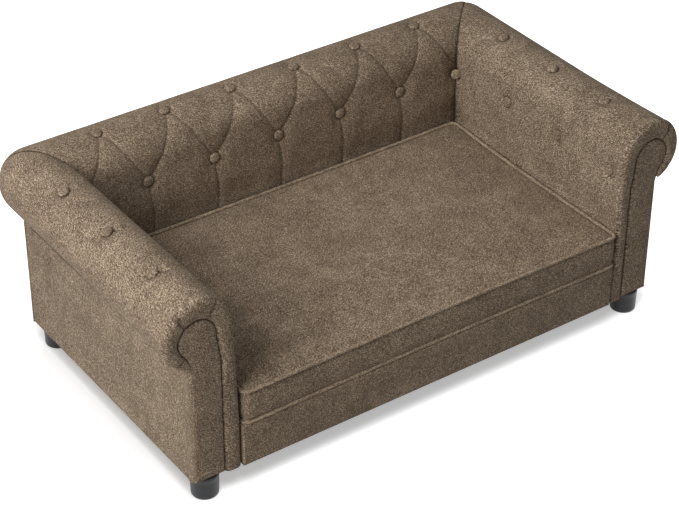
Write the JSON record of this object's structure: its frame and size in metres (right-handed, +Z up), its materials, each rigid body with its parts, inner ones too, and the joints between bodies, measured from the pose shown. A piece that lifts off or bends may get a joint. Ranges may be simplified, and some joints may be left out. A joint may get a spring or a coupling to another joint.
{
  "type": "dog sofa bed",
  "caption": "Small scroll-armed sofa for a dog, with a diamond-tufted rolled back, a loose boxed cushion piped at its edges and short round legs.",
  "frame": {"origin": "on the floor, midway along the sofa's length and midway between its front and its rear", "axes": "+X along the sofa's length, to the right for a person facing it; +Y to its back; +Z up"},
  "size_m": [1, 0.576, 0.38],
  "materials": {
    "brown_cloth": "woven chenille-look upholstery cloth, taupe brown",
    "foam": "polyurethane foam",
    "liner_board": "bent fibreboard",
    "plywood": "plywood, sanded",
    "pine": "planed pine",
    "dust_cloth": "non-woven cloth, black",
    "leg_plastic": "moulded black plastic, satin",
    "zinc_steel": "zinc plated",
    "zip_tape": "polyester zip tape and coil",
    "zip_metal": "lacquered die cast zinc"
  },
  "bodies": {
    "sofa": {"apron_cover": "brown_cloth", "apron_pad": "foam", "back_bottom_board": "plywood", "back_cover": "brown_cloth", "back_crest_buttons": "brown_cloth", "back_face_buttons": "brown_cloth", "back_foam": "foam", "back_liner": "liner_board", "back_outer_cover": "brown_cloth", "back_rails": "pine", "back_ribs": "plywood", "base_front_rail": "pine", "base_left_rail": "pine", "base_rear_rail": "pine", "base_right_rail": "pine", "base_slats": "pine", "corner_blocks": "pine", "deck_cover": "brown_cloth", "dust_cover": "dust_cloth", "joining_bolts": "zinc_steel", "joining_nuts": "zinc_steel", "left_arm_bottom_board": "plywood", "left_arm_buttons": "brown_cloth", "left_arm_cover": "brown_cloth", "left_arm_foam": "foam", "left_arm_front_board": "plywood", "left_arm_liner": "liner_board", "left_arm_rails": "pine", "left_arm_ribs": "plywood", "left_facing_panel": "brown_cloth", "left_side_cover": "brown_cloth", "leg_front_left": "leg_plastic", "leg_front_right": "leg_plastic", "leg_inserts": "zinc_steel", "leg_rear_left": "leg_plastic", "leg_rear_right": "leg_plastic", "leg_studs": "zinc_steel", "right_arm_bottom_board": "plywood", "right_arm_buttons": "brown_cloth", "right_arm_cover": "brown_cloth", "right_arm_foam": "foam", "right_arm_front_board": "plywood", "right_arm_liner": "liner_board", "right_arm_rails": "pine", "right_arm_ribs": "plywood", "right_facing_panel": "brown_cloth", "right_side_cover": "brown_cloth", "seat_deck": "plywood"},
    "cushion": {"cushion_foam": "foam", "cushion_cover": "brown_cloth", "cushion_top_cord": "brown_cloth", "cushion_bottom_cord": "brown_cloth", "cushion_zip": "zip_tape"},
    "zip_slider": {"zip_slider": "zip_metal"}
  },
  "joints": [
    {"name": "cushion_lift", "type": "slide", "parent": "sofa", "child": "cushion", "axis": [0, 0, 1], "range_m": [0, 0.3]},
    {"name": "zip_slide", "type": "slide", "parent": "cushion", "child": "zip_slider", "axis": [1, 0, 0], "range_m": [0, 0.57]}
  ]
}
